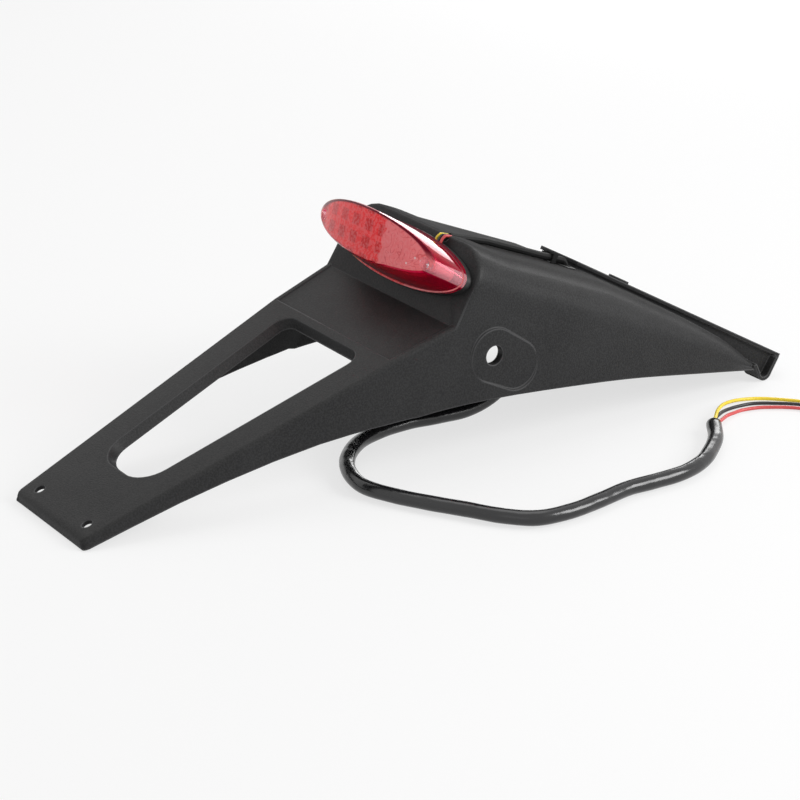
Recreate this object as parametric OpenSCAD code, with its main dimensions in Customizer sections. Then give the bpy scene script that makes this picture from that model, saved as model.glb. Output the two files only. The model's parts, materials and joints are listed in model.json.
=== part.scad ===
// Tail tidy for an off-road motorcycle: one moulded bracket that carries the number plate and a rear lamp.
// It stands on the edge of its plate arm and on its two front lips. Y runs from the plate to the front of the
// bracket, X to its right, Z up. The lamp looks back along Y.

/* [Plate arm] */
// Length of the arm seen from above, from the plate edge to the step
arm_run = 169; // [120:1:220]
// Height of the arm's top at the step
arm_rise = 67.5; // [45:1:90]
// Half width of the flat top at the plate edge
arm_end_half = 33.5; // [28:0.5:45]
// Half width of the flat top at the step
arm_step_half = 54.5; // [48:0.5:60]
// Height of the plate edge
edge_h = 5; // [3:0.5:7]
// Rounding along the arm's top edges
arm_round = 2.4; // [1:0.1:2.8]
// How far the side walls lean out below the rounding
wall_lean = 1.4; // [0.5:0.1:3]
// Wall thickness of the moulding
wall = 2.6; // [2:0.1:3.2]

/* [Plate fixing] */
// Distance between the two plate holes
plate_hole_pitch = 50; // [30:1:58]
// Diameter of a plate hole
plate_hole_d = 5.6; // [4:0.1:7]
// Distance of the plate holes from the plate edge, along the arm
plate_hole_in = 9; // [7:0.5:14]

/* [Arm slot] */
// Distance along the arm from the plate edge to the slot
slot_start = 43; // [30:1:60]
// Distance along the arm from the plate edge to the slot's wide end
slot_end = 175; // [150:1:176]
// Half width of the slot at its narrow end
slot_half_narrow = 22; // [14:0.5:24]
// Half width of the slot at its wide end
slot_half_wide = 36.5; // [26:0.5:40]
// Corner radius at the narrow end
slot_round_narrow = 17; // [8:0.5:18]
// Corner radius at the wide end
slot_round_wide = 9; // [4:0.5:14]
// Depth of the turned-down rim round the slot
slot_rim_depth = 5.4; // [4:0.1:8]
// How far the rim leans in over its depth
slot_rim_lean = 2.8; // [1:0.1:4]

/* [Lamp recess] */
// Length of the recess floor seen from above
floor_run = 37; // [30:1:50]
// Rise of the recess floor
floor_rise = 12; // [8:0.5:18]
// Half width of the recess floor at the lamp face
floor_half = 57.5; // [54:0.5:60]
// Step down from the arm to the recess floor
floor_step = 1.1; // [0.5:0.1:2]
// Width of the rim left beside the recess floor
floor_rim = 1.2; // [0.8:0.1:3]
// Lean of the lamp face from upright
face_lean = 30; // [22:1:36]
// Height of the lamp face along its slope
face_h = 40.8; // [36:0.2:50]

/* [Hood] */
// Half width of the hood at the shoulder
hood_half = 60; // [58:0.5:64]
// Half width along the lower edge, at its widest
skirt_half = 63.6; // [62:0.2:68]
// Sideways radius of the hood's shoulder at the lamp face
shoulder_x = 22; // [12:0.5:28]
// Height radius of the hood's shoulder at the lamp face
shoulder_h = 20; // [12:0.5:26]
// Length of the rolled edge between the lamp face and the deck
brow_len = 24; // [16:1:30]
// Height of the rolled edge
brow_h = 2.6; // [2:0.1:6]
// Rise of the deck per millimetre along the hood
deck_rise = 0.12; // [0.05:0.002:0.14]
// Length of the hood from the lamp face to the end of its side walls
hood_len = 215; // [210:1:222]

/* [Mounting frame] */
// Height of the mounting frame's top over the floor corner, square to the deck
frame_top = 56.4; // [55:0.1:60]
// Distance from the lamp face to the frame's nose
frame_start = 98; // [92:1:110]
// Distance from the lamp face to the frame's front end
frame_end = 234; // [228:1:238]
// Half width of the frame at its nose
frame_nose_half = 17; // [14:0.5:24]
// Half width of the frame at its front end
frame_front_half = 55.5; // [52:0.5:57]
// Thickness of the frame's upright web
web_t = 2.2; // [1.6:0.1:3]
// Thickness of the flange on top of the web
flange_t = 2; // [1.4:0.1:3]
// How far the flange stands out from the web
flange_out = 1.6; // [0.6:0.1:2.4]
// How far the flange reaches in from the web
flange_in = 5; // [3:0.5:8]
// Diameter of the front fixing hole
front_hole_d = 6.6; // [5.5:0.1:8.5]
// Diameter of the boss round the front fixing hole
front_boss_d = 12; // [11:0.5:24]
// Distance from the lamp face to the front fixing hole
front_hole_at = 147; // [130:1:160]

/* [Side fixing] */
// Diameter of a side hole
side_hole_d = 10.6; // [8:0.1:12]
// Distance from the lamp face to the side holes, along the deck
side_hole_at = 30.3; // [26:0.1:36]
// Depth of the side holes below the floor corner, square to the deck
side_hole_down = 6.1; // [3:0.1:9]
// How far the side pads stand out of the hood's wall
side_pad_proud = 1.6; // [0.6:0.1:2.4]
// Radius of the pad round the hole
side_pad_r = 14.4; // [12:0.1:16]
// Length of the pad's tail
side_pad_tail = 17; // [10:0.5:20]

/* [Lamp] */
// Half length of the lens rim
lens_half = 57.2; // [50:0.5:57]
// Half height of the lens rim
lens_half_h = 15.3; // [14:0.5:18]
// Height of the lamp's middle above the recess floor, along the face
lamp_up = 21.9; // [20:0.2:26]
// Distance that the lens stands out from its base
lens_out = 28.6; // [24:0.2:32]
// Fall of the lens's front from its middle to its ends
lens_crown = 8.5; // [6:0.5:10]
// Lean of the lens's front against its base
lens_tilt = 14.5; // [10:0.5:18]
// Rise of the lens's front above its base's middle
lens_rise = 2.3; // [1:0.1:3]
// Rise of the lens screws above the base's middle
lens_screw_up = 0.8; // [0:0.1:1.5]
// Half length of the lens front
front_half = 53.2; // [46:0.5:54]
// Half height of the lens front
front_half_h = 13.1; // [11:0.5:15]
// Wall thickness of the lens
lens_wall = 1.8; // [1.4:0.1:2.6]
// Distance of the lens screws from the middle
lens_screw_x = 46.5; // [45:0.5:47]
// Thickness of the foam gasket behind the lamp
gasket_t = 1.5; // [1:0.1:3]
// Thickness of the lamp base
base_t = 2.6; // [2:0.1:4]
// Size of one lamp diode
led_w = 7.2; // [4:0.1:8]
// Distance between the diodes along the lamp
led_pitch = 12; // [9:0.1:13]
// Distance of each diode row from the middle
led_row = 4.4; // [4.2:0.1:5]
// Number of diodes in a row
led_columns = 4; // [2:1:4]
// Distance of the lamp's own fixing screws from the middle
lamp_bolt_x = 28; // [22:0.5:34]

/* [Wiring] */
// Diameter of one wire over its insulation
wire_d = 2; // [1.6:0.1:2.2]
// Diameter of the lamp's own leads
lead_d = 1.6; // [1.2:0.1:1.7]
// Diameter of the taped loom on the deck
loom_d = 4.2; // [4:0.1:5]
// Diameter of the loose sleeve
sleeve_d = 8.4; // [7:0.1:9]
// Diameter of the loom hole in the deck
loom_hole_d = 11; // [10:0.1:12]

/* [Hidden] */
$fn = 48;
gap = 0.3;
side_pad_half = hood_half + side_pad_proud;

// Slope of the arm's top
arm_slope = atan((arm_rise - edge_h) / arm_run);
// Corner where the recess floor meets the lamp face
face_y = arm_run + floor_run;
face_z = arm_rise + floor_rise;
// Middle of the bracket's length
mid_y = (face_y + frame_end * cos(face_lean) + frame_top * sin(face_lean)) / 2;
// Top of the deck, where it runs level with the mounting frame
deck_top = frame_top - 3.8;
// Side view of the lower edge: distance from the plate edge and height
edge_arch = [[-40, -12], [0, 0], [60, 17.6], [120, 30.2], [170, 35], [212, 36.2], [260, 32.8],
    [320, 25.6], [380, 14.8], [415, 8], [460, -2]];
// Segments of a rounded corner in the moulding's section
corner_steps = 7;

// Value at v in a table of [place, value] pairs, straight between its rows
function between(v, table) = lookup(v, table);

// Value at v on a smooth curve through a table of [place, value] pairs
function smooth(v, table, i = 1) =
    (i >= len(table) - 3 || v < table[i + 1][0])
        ? let(p0 = table[i - 1], p1 = table[i], p2 = table[i + 1], p3 = table[i + 2],
              m1 = (p2[1] - p0[1]) / (p2[0] - p0[0]), m2 = (p3[1] - p1[1]) / (p3[0] - p1[0]),
              w = p2[0] - p1[0], t = (v - p1[0]) / w)
          (2 * t ^ 3 - 3 * t ^ 2 + 1) * p1[1] + (t ^ 3 - 2 * t ^ 2 + t) * w * m1
              + (3 * t ^ 2 - 2 * t ^ 3) * p2[1] + (t ^ 3 - t ^ 2) * w * m2
        : smooth(v, table, i + 1);

// Points of an arc from angle a0 to a1 in n steps
function arc(cx, cy, rx, ry, a0, a1, n) =
    [for (i = [0:n]) let(a = a0 + (a1 - a0) * i / n) [cx + rx * cos(a), cy + ry * sin(a)]];

// Place where a section plane through (y0, z0), leaning by phi, meets the lower edge
function low_y(y0, z0, phi, y, turns = 8) =
    turns == 0 ? y : low_y(y0, z0, phi, y0 + (smooth(y, edge_arch) - z0) * tan(phi), turns - 1);

// Hood heights and widths along s, the distance from the lamp face square to it
function crown(s) =
    s < brow_len
        ? face_h + brow_h * (1 - ((brow_len - max(0, s)) / brow_len) ^ 2)
        : min(deck_top, face_h + brow_h + deck_rise * (s - brow_len))
            - between(s, [[150, 0], [175, 0.8], [194, 2.3], [209, 5.4], [215, 7.6], [222, 11]]);
function crown_fall(s) = between(s, [[0, 0], [brow_len, 1], [98, 0.6], [215, 0.2]]);
function hood_side(s) = hood_half - between(s, [[150, 0], [194, 0.6], [215, 1.8]]);
function corner_x(s) = between(s, [[0, shoulder_x], [97, shoulder_x + 2], [134, 20], [160, 16], [194, 11],
    [209, 8], [215, 6]]);
function corner_h(s) = between(s, [[0, shoulder_h], [97, shoulder_h], [134, 17], [160, 14.5], [194, 9],
    [209, 5], [215, 2]]);
function skirt_x(s) = skirt_half - between(s, [[0, skirt_half - floor_half - arm_round - wall_lean],
    [30, 0.9], [90, 0], [150, 0.8], [215, 3.2]]);

// Height of the hood's outer surface over the floor corner at s and x, between its shoulders
function deck_h(s, x) =
    crown(s) - crown_fall(s) * (x / (hood_side(s) - corner_x(s))) ^ 2;

// A section: [y0, z0, lean, x of the lower edge, x of the wall, corner x, corner h, top, step, rim,
//     centre rise, inset of the wall, share of the wall's height at its middle point, x there]
function section_low(c) =
    let(y = low_y(c[0], c[1], c[2], c[0]), z = smooth(y, edge_arch)) (z - c[1]) / cos(c[2]);

// Outer half outline of a section from its lower edge to its middle
function outer_half(c) =
    let(hl = section_low(c), xw = c[4], rx = c[5], ry = c[6], ht = c[7], step = c[8], rim = c[9],
        xf = xw - rx)
    concat(
        [[c[3], hl], [c[11], hl + (ht - ry - hl) * c[10]]],
        arc(xf, ht - ry, rx, ry, 0, 90, corner_steps),
        rim > 0
            ? [[xf - rim, ht], [xf - rim - step - 0.2, ht - step], [0, ht - step]]
            : [for (k = [2, 1, 0]) [xf * k / 3, ht + c[12] * (1 - (k / 3) ^ 2)]]);

// Inner half outline, a wall's thickness inside the outer one
function inner_half(c) =
    let(hl = section_low(c), xw = c[4] - wall, rx = max(c[5] - wall, 0.8), ry = max(c[6] - wall, 0.8),
        ht = max(c[7] - c[8] - wall, hl + 1.2), xf = xw - rx, top = ht - hl, k0 = c[13])
    [for (p = concat(
        [[c[3] - wall, 0], [c[11] - wall, (top - ry) * c[10]]],
        arc(xf, top - ry, rx, ry, 0, 90, corner_steps),
        [for (k = [2, 1, 0]) [xf * k / 3, top + c[12] * (1 - (k / 3) ^ 2)]])) [p[0], hl + p[1] * k0]];

// Both halves of an outline as points in space, left to right
function full(half) = concat([for (p = half) [-p[0], p[1]]],
    [for (i = [len(half) - 2:-1:0]) half[i]]);
function placed(c, outline, shift = 0) = [for (p = outline)
    [p[0], c[0] + shift * cos(c[2]) + p[1] * sin(c[2]), c[1] - shift * sin(c[2]) + p[1] * cos(c[2])]];

// Section of the plate arm at share f of its run, with its edge rounded by inset and drop
function arm_section(f, lean, inset, drop, deep, step) =
    let(y = arm_run * f, z = edge_h + (arm_rise - edge_h) * f,
        xf = arm_end_half + (arm_step_half - arm_end_half) * f - inset, xw = xf + arm_round)
    [y, z, lean, xw + wall_lean, xw, arm_round, min(arm_round, edge_h - drop - 1), -drop, step, floor_rim,
        0.94, xw + wall_lean * 0.06, 0, deep];
// Section of the recess floor at share f of its run
function floor_section(f, lean) =
    let(xf = arm_step_half + (floor_half - arm_step_half) * f, xw = xf + arm_round)
    [arm_run + floor_run * f, arm_rise + floor_rise * f, lean, xw + wall_lean, xw, arm_round, arm_round, 0,
        floor_step, floor_rim, 0.96, xw + wall_lean * 0.04, 0, 1];
// Section of the hood at distance s, pulled in by inset where it rounds the edge of the lamp face
function hood_section(s, inset) =
    let(xw = hood_side(s) - inset, rise = crown_fall(s))
    [face_y + s * cos(face_lean), face_z - s * sin(face_lean), face_lean, skirt_x(s), xw,
        corner_x(s), corner_h(s), crown(s) - rise - inset, 0, 0,
        0.67, hood_side(s) + (skirt_x(s) - hood_side(s)) * between(s, [[0, 0], [60, 0.33]]), rise, 1];

// Sections of the whole moulding from the plate edge to the front: [section, shift of its inner outline]
arm_sections = concat(
    [for (e = [[0, 2.2, 1.3], [0.4, 1.2, 0.7], [1.4, 0.4, 0.2]])
        [arm_section(e[0] / arm_run, 0, e[1], e[2], 0.05, 0), 0]],
    [[arm_section(3 / arm_run, 0, 0, 0, 0.06, 0), 0], [arm_section(3.8 / arm_run, 0, 0, 0, 1, 0), 0]],
    [for (f = [0.15:0.15:0.76]) [arm_section(f, 0, 0, 0, 1, 0), 0]],
    [[arm_section(0.86, 3, 0, 0, 1, 0), 0], [arm_section(0.94, 6, 0, 0, 1, 0), 0],
        [arm_section(1, 10, 0, 0, 1, 0), 0]]);
floor_sections = [[floor_section(0.02, 10.4), 0], [floor_section(0.25, 14), 0], [floor_section(0.5, 19), 0],
    [floor_section(0.75, 24), 0], [floor_section(1, face_lean), wall]];
hood_sections = concat(
    [for (e = [[0.3, 1.3], [0.6, 0.6], [1.1, 0.25], [2.3, 0]]) [hood_section(e[0], e[1]), wall]],
    [for (s = [4, 7, 10, 14, 24, 38, 54, 70, 84, 97, 110, 122, 134, 147, 160, 172, 184, 194, 202, 209])
        [hood_section(s, 0), wall * between(s, [[60, 1], [160, 0]])]],
    [[hood_section(hood_len, 0), 0]]);
sections = concat(arm_sections, floor_sections, hood_sections);

// Shell between an outer and an inner row of outlines, open along its lower edges
module lofted_shell(rows) {
    outer = [for (r = rows) placed(r[0], full(outer_half(r[0])))];
    inner = [for (r = rows) placed(r[0], full(inner_half(r[0])), r[1])];
    n = len(outer[0]);
    m = len(rows);
    points = concat([for (o = outer) each o], [for (q = inner) each q]);
    faces = concat(
        [for (j = [0:m - 2], i = [0:n - 2]) each
            [[j * n + i, (j + 1) * n + i, (j + 1) * n + i + 1],
                [j * n + i, (j + 1) * n + i + 1, j * n + i + 1]]],
        [for (j = [m:2 * m - 2], i = [0:n - 2]) each
            [[j * n + i, (j + 1) * n + i + 1, (j + 1) * n + i],
                [j * n + i, j * n + i + 1, (j + 1) * n + i + 1]]],
        [for (j = [0:m - 2]) each
            [[j * n, (m + j) * n, (m + j + 1) * n], [j * n, (m + j + 1) * n, (j + 1) * n]]],
        [for (j = [0:m - 2]) each
            [[(j + 1) * n - 1, (m + j + 2) * n - 1, (m + j + 1) * n - 1],
                [(j + 1) * n - 1, (j + 2) * n - 1, (m + j + 2) * n - 1]]],
        [for (i = [0:n - 2]) each [[i, i + 1, m * n + i + 1], [i, m * n + i + 1, m * n + i]]],
        [for (i = [0:n - 2]) let(a = (m - 1) * n + i, b = (2 * m - 1) * n + i) each
            [[a, b + 1, a + 1], [a, b, b + 1]]]);
    polyhedron(points = points, faces = faces, convexity = 8);
}

// Frames: the arm's top with its length along Y, and the lamp face with the deck's length along Y
module in_place() { translate([0, -mid_y, 0]) children(); }
module on_arm() { translate([0, 0, edge_h]) rotate([arm_slope, 0, 0]) children(); }
module on_hood() { translate([0, face_y, face_z]) rotate([-face_lean, 0, 0]) children(); }

// Solid with straight sides between stacked outlines of the same number of points: [[z, outline], ...]
module stacked(levels) {
    n = len(levels[0][1]);
    m = len(levels);
    points = [for (l = levels) each [for (p = l[1]) [p[0], p[1], l[0]]]];
    faces = concat(
        [[for (i = [0:n - 1]) i]],
        [for (j = [0:m - 2], i = [0:n - 1]) let(k = (i + 1) % n)
            [j * n + i, (j + 1) * n + i, (j + 1) * n + k, j * n + k]],
        [[for (i = [n - 1:-1:0]) (m - 1) * n + i]]);
    polyhedron(points = points, faces = faces, convexity = 4);
}
// Solid drawn in the side view, from x0 to x1
module side_solid(x0, x1, outline) {
    translate([x0, 0, 0]) rotate([90, 0, 90]) linear_extrude(x1 - x0) polygon(outline);
}
module both_sides() {
    children();
    mirror([1, 0, 0]) children();
}

// Plate arm: slot and holes, in the arm's own frame
function slot_outline(g) =
    let(lean = (slot_half_wide - slot_half_narrow) / (slot_end - slot_start), tilt = atan(lean),
        w0 = slot_half_narrow - lean * g + g / cos(tilt), a0 = slot_start - g,
        r0 = slot_round_narrow + g, r1 = slot_round_wide + g, c1 = slot_end + g - r1,
        half = concat(
            arc(w0 + lean * r0 - r0 / cos(tilt), a0 + r0, r0, r0, 270, 360 - tilt, 8),
            arc(w0 + lean * (c1 - a0) - r1 / cos(tilt), c1, r1, r1, -tilt, 90, 6)))
    concat(half, [for (i = [len(half) - 1:-1:0]) [-half[i][0], half[i][1]]]);
slot_lip = 1.2;
module slot_rim() {
    on_arm() translate([0, 0, -slot_rim_depth]) linear_extrude(slot_rim_depth - wall / 2)
        polygon(slot_outline(slot_lip));
}
module slot_cut() {
    over = 0.5;
    on_arm() stacked([[-slot_rim_depth - 20, slot_outline(-slot_rim_lean)],
        [-slot_rim_depth, slot_outline(-slot_rim_lean)],
        [over, slot_outline(over * slot_rim_lean / slot_rim_depth)]]);
}
module plate_holes() {
    on_arm() both_sides() translate([plate_hole_pitch / 2, plate_hole_in, -edge_h * 3])
        cylinder(d = plate_hole_d, h = edge_h * 6);
}

// Side fixing pads, a round end with a tail along the hood
module pad_form(x, r0, r1, thick) {
    translate([x, side_hole_at, -side_hole_down]) rotate([0, 90, 0]) hull() {
        cylinder(r1 = r0, r2 = r1, h = thick);
        translate([0, side_pad_tail, 0]) cylinder(r1 = r0 - 1.4, r2 = r1 - 1.4, h = thick);
    }
}
pad_thick = 4.4;
module side_pads() {
    on_hood() both_sides() pad_form(side_pad_half - pad_thick, side_pad_r + 1.6, side_pad_r, pad_thick);
}
module side_pad_faces() {
    on_hood() both_sides() pad_form(side_pad_half, side_pad_r, side_pad_r + 1.4, 2.4);
}
module side_holes() {
    on_hood() translate([-skirt_half - 5, side_hole_at, -side_hole_down]) rotate([0, 90, 0])
        cylinder(d = side_hole_d, h = 2 * skirt_half + 10);
}

// Mounting frame on the deck: plan outline grown by g, its front edge moved by front
nose_round = 6;
function frame_plan(g, front = 0) =
    let(half = [[frame_front_half + g - 2, frame_end - front], [frame_front_half + g, frame_end - front - 3],
        [frame_nose_half + g, frame_start + nose_round], [frame_nose_half + g - 2, frame_start - g + 2],
        [frame_nose_half + g - nose_round, frame_start - g]])
    concat(half, [for (i = [len(half) - 1:-1:0]) [-half[i][0], half[i][1]]]);
function web_x(s) = frame_nose_half
    + (frame_front_half - frame_nose_half) * (s - frame_start - nose_round) / (frame_end - frame_start - nose_round);
// A point of the side view in the hood's frame
function to_hood(y, z) = [(y - face_y) * cos(face_lean) - (z - face_z) * sin(face_lean),
    (y - face_y) * sin(face_lean) + (z - face_z) * cos(face_lean)];
// Front lip in the side view: a turned-out rim round the lower front corner, standing on the ground
lip_r = 5.4;
lip_t = 2.1;
lip_out = 59.5;
function lip_middle() = [face_y + hood_len * cos(face_lean) + deck_top * sin(face_lean) + 3.2, lip_r];
function lip_outline(r) = let(c = lip_middle(), d = lip_r - r)
    concat([[c[0] - lip_r - 3 + d, c[1] + 5 + d * 0.5]], arc(c[0], c[1], r, r, 180, 342, 9),
        [[c[0] + lip_r + 4.8 - d, c[1] + 6.6]]);
module front_lips() {
    outer = lip_outline(lip_r);
    inner = lip_outline(lip_r - lip_t);
    both_sides() side_solid(web_x(hood_len) - web_t, lip_out,
        concat(outer, [for (i = [len(inner) - 1:-1:0]) inner[i]]));
}
module mounting_frame() {
    web_bottom = [for (s = [frame_start - 2:8:hood_len - 4]) [s, deck_h(s, min(web_x(s), 50)) - wall * 0.6]];
    web_front = [for (p = lip_outline(lip_r - lip_t / 2)) to_hood(p[0], p[1])];
    on_hood() {
        translate([0, 0, frame_top - flange_t]) linear_extrude(flange_t) difference() {
            polygon(frame_plan(flange_out));
            polygon(frame_plan(-web_t - flange_in, web_t + flange_in));
        }
        intersection() {
            linear_extrude(frame_top - flange_t / 2) difference() {
                polygon(frame_plan(0));
                polygon(frame_plan(-web_t, -20));
            }
            side_solid(-70, 70, concat([[frame_start - 4, frame_top]], web_bottom, web_front,
                [[frame_end - 2, frame_top - flange_t / 2], [frame_end - 2, frame_top]]));
        }
        translate([0, 0, deck_top - wall - 0.5]) linear_extrude(wall)
            intersection() {
                polygon(frame_plan(-web_t / 2, 1));
                translate([-70, tray_start - 6]) square([140, 200]);
            }
    }
}
// Room under the frame, where its tray replaces the falling deck
tray_start = 160;
module frame_well() {
    on_hood() linear_extrude(deck_top - wall - 0.5) intersection() {
        polygon(frame_plan(-web_t / 2, -20));
        translate([-70, tray_start]) square([140, 200]);
    }
}
module front_boss() {
    on_hood() translate([0, front_hole_at, deck_top - wall - 4])
        cylinder(d = front_boss_d, h = frame_top + 1.4 - deck_top + wall + 4);
}
module front_hole() {
    on_hood() translate([0, front_hole_at, 0]) cylinder(d = front_hole_d, h = frame_top * 1.5);
}

// Wiring on the deck: place of the loom's hole, of its tie and of the groove that it leaves the lamp by
loom_x = 17;
loom_s = 89;
groove_x = 22;
groove_r = 3;
groove_rise = 14;
groove_h = 39.8;
loom_way = (groove_x - loom_x) / (loom_s - 22);
function loom_at(s) = groove_x - (s - 22) * loom_way;
tie_s = 77;
tie_x = loom_at(tie_s);
tie_w = 3;
module at_loom_hole() {
    on_hood() translate([loom_x, loom_s, deck_h(loom_s, loom_x)]) rotate([atan(deck_rise), 0, 0]) children();
}
module groove(r, from, length) {
    on_hood() translate([groove_x, 0, groove_h]) rotate([groove_rise - 90, 0, 0])
        translate([0, 0, from]) cylinder(r = r, h = length);
}
module groove_floor() {
    on_hood() translate([groove_x, 0, groove_h]) rotate([groove_rise, 0, 0])
        translate([-groove_r - 2, 2, -groove_r - 2.2]) cube([2 * groove_r + 4, 14, 3.2]);
}
module tie_slots() {
    for (dx = [-1, 1])
        on_hood() translate([tie_x + dx * (loom_d / 2 + 1.2) - 0.9, tie_s - tie_w / 2 - 0.6, 30])
            cube([1.8, tie_w + 1.2, 30]);
}
module shoulder_slot() {
    on_hood() translate([web_x(112) + flange_out + 2, 106, 40]) rotate([0, 0, -12]) hull() {
        cylinder(r = 1.7, h = 30);
        translate([0, 12, 0]) cylinder(r = 1.7, h = 30);
    }
}

// Stiffening ribs under the recess floor and a rib behind the slot
rib_t = 2;
rib_h = 20;
slot_rib_w = 96;
slot_rib_h = 9;
function from_hood(s, h) = [face_y + s * cos(face_lean) + h * sin(face_lean),
    face_z - s * sin(face_lean) + h * cos(face_lean)];
function floor_at(y) = arm_rise + (y - arm_run) * floor_rise / floor_run;
module ribs() {
    low = floor_step + wall * 0.6;
    y0 = arm_run + 8;
    outline = [[y0, floor_at(y0) - low], [face_y, face_z - low], from_hood(wall * 0.7, rib_h),
        from_hood(wall + 8, 0), [face_y - 2, face_z - 14], [y0 + 2, floor_at(y0) - 9]];
    for (x = [-12, 12]) side_solid(x - rib_t / 2, x + rib_t / 2, outline);
    on_arm() translate([0, slot_end + 4, -wall - slot_rib_h]) linear_extrude(slot_rib_h + 0.4)
        square([slot_rib_w, rib_t], center = true);
}

module tail_moulding() {
    color([0.17, 0.17, 0.17]) in_place() difference() {
        union() {
            difference() {
                lofted_shell(sections);
                frame_well();
            }
            slot_rim();
            side_pads();
            mounting_frame();
            front_lips();
            front_boss();
            groove_floor();
            ribs();
        }
        slot_cut();
        plate_holes();
        side_pad_faces();
        side_holes();
        front_hole();
        at_loom_hole() translate([0, 0, -10]) cylinder(d = loom_hole_d, h = 20);
        groove(groove_r, -8, 40);
        tie_slots();
        shoulder_slot();
        at_lamp() both_sides() translate([lamp_bolt_x, 0, -wall - 6])
            cylinder(d = bolt_d + 0.5, h = wall + 12);
    }
}

// Lamp. Its own frame has Z square out of the lamp face and Y up along it
lamp_power = 2;
bolt_d = 5;
base_top = gasket_t + base_t;
screw_d = 2.9;
screw_head_d = 5.6;
tube_d = 7.6;
seat_depth = 5;
board_z = base_top + 8;
board_t = 1.6;
module at_lamp() { in_hood_frame_lamp() children(); }
module in_hood_frame_lamp() { on_hood() translate([0, 0, lamp_up]) rotate([90, 0, 0]) children(); }
// Pointed oval with half length a and half height b
function oval(a, b, n = 48) = [for (i = [0:n - 1]) let(t = 360 * i / n, c = cos(t), s = sin(t))
    [a * sign(c) * abs(c) ^ (2 / lamp_power), b * sign(s) * abs(s) ^ (2 / lamp_power)]];
module oval_plate(z0, z1, a, b) { translate([0, 0, z0]) linear_extrude(z1 - z0) polygon(oval(a, b)); }

module lamp_gasket() {
    color([0.1, 0.1, 0.1]) in_place() at_lamp() difference() {
        oval_plate(0, gasket_t, lens_half - 0.8, lens_half_h - 0.6);
        both_sides() translate([lamp_bolt_x, 0, -1]) cylinder(d = bolt_d + 1, h = gasket_t + 2);
        translate([groove_x, lens_half_h, gasket_t / 2]) cube([8, 6, 4], center = true);
    }
}
module lamp_base() {
    post = base_top + 3.4;
    inset = lens_wall + 1.6;
    color([0.13, 0.13, 0.13]) in_place() at_lamp() difference() {
        union() {
            oval_plate(gasket_t, base_top, lens_half, lens_half_h);
            difference() {
                oval_plate(base_top - 0.5, base_top + 2, lens_half - inset, lens_half_h - inset);
                oval_plate(base_top - 1, base_top + 3, lens_half - inset - 1.4, lens_half_h - inset - 1.4);
            }
            both_sides() translate([lens_screw_x, lens_screw_up, base_top - 0.5])
                cylinder(d = tube_d - 1, h = post - base_top + 0.5);
            both_sides() translate([lamp_bolt_x, 0, base_top - 0.5])
                cylinder(d = bolt_d + 4, h = board_z - base_top + 0.4);
        }
        both_sides() translate([lens_screw_x, lens_screw_up, base_top - 1])
            cylinder(d = screw_d + 0.1, h = 10);
        both_sides() translate([lamp_bolt_x, 0, -1]) cylinder(d = bolt_d + 0.2, h = board_z);
        translate([groove_x, lens_half_h - 1, base_top - 1]) cube([8, 6, 2.4], center = true);
    }
}
// Height of the lens's front over the lamp face at x and y, and over a lens screw
function lens_front(x, y) = base_top + lens_out + (y - lens_rise) * tan(lens_tilt)
    - lens_crown * (x / front_half) ^ 2;
function screw_seat() = lens_front(lens_screw_x, lens_screw_up) - seat_depth;
// Ring of the lens's front, inside its outline by inset and below its front by drop
function front_ring(inset, drop) = [for (p = oval(front_half - inset, front_half_h - inset))
    let(y = p[1] + lens_rise) [p[0], y, lens_front(p[0], y) - drop]];
function flat_ring(inset, z) = [for (p = oval(lens_half - inset, lens_half_h - inset)) [p[0], p[1], z]];
// Solid through rings whose first point lies at the right end. Its last cap bends along X only
module ringed(rings) {
    n = len(rings[0]);
    m = len(rings);
    top = (m - 1) * n;
    faces = concat(
        [[for (i = [0:n - 1]) i]],
        [for (j = [0:m - 2], i = [0:n - 1]) let(k = (i + 1) % n) each
            [[j * n + i, (j + 1) * n + i, (j + 1) * n + k], [j * n + i, (j + 1) * n + k, j * n + k]]],
        [[top + n - 1, top + 1, top]],
        [for (i = [1:n / 2 - 2]) [top + n - i, top + n - i - 1, top + i + 1, top + i]],
        [[top + n / 2 + 1, top + n / 2, top + n / 2 - 1]]);
    polyhedron(points = [for (r = rings) each r], faces = faces, convexity = 4);
}
module lamp_lens() {
    rim_t = 1.8;
    ledge = 0.8;
    seat = screw_seat();
    color([0.75, 0.12, 0.14, 0.7]) in_place() at_lamp() difference() {
        union() {
            difference() {
                ringed([flat_ring(0, base_top), flat_ring(0, base_top + rim_t),
                    flat_ring(ledge, base_top + rim_t + 0.4), front_ring(0, 1.6), front_ring(0.4, 0.5), front_ring(1.4, 0)]);
                ringed([flat_ring(lens_wall, base_top - 1), flat_ring(lens_wall, base_top + rim_t),
                    front_ring(lens_wall, lens_wall + 1)]);
            }
            both_sides() translate([lens_screw_x, lens_screw_up, base_top + 3.4 + gap])
                cylinder(d = tube_d, h = seat + seat_depth - lens_wall - base_top - 3.4 - gap);
        }
        both_sides() translate([lens_screw_x, lens_screw_up, 0]) {
            translate([0, 0, seat]) cylinder(d = screw_head_d + 0.5, h = 3 * seat_depth);
            translate([0, 0, base_top]) cylinder(d = screw_d + 0.4, h = lens_out);
        }
    }
}
led_x0 = -21.5;
led_tip = 13;
function led_places() = concat(
    [for (c = [0:led_columns - 1], side = [-1, 1]) [led_x0 + c * led_pitch, side * led_row]],
    [[led_x0 - led_tip, 0]]);
led_h = 3.2;
board_half = lens_screw_x - tube_d / 2 - 1;
board_half_h = front_half_h - lens_wall - 0.2;
module led_board() {
    color([0.2, 0.35, 0.2]) in_place() at_lamp() difference() {
        oval_plate(board_z, board_z + board_t, board_half, board_half_h);
        both_sides() translate([lamp_bolt_x, 0, board_z - 1]) cylinder(d = bolt_d + 0.6, h = 4);
    }
}
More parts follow.
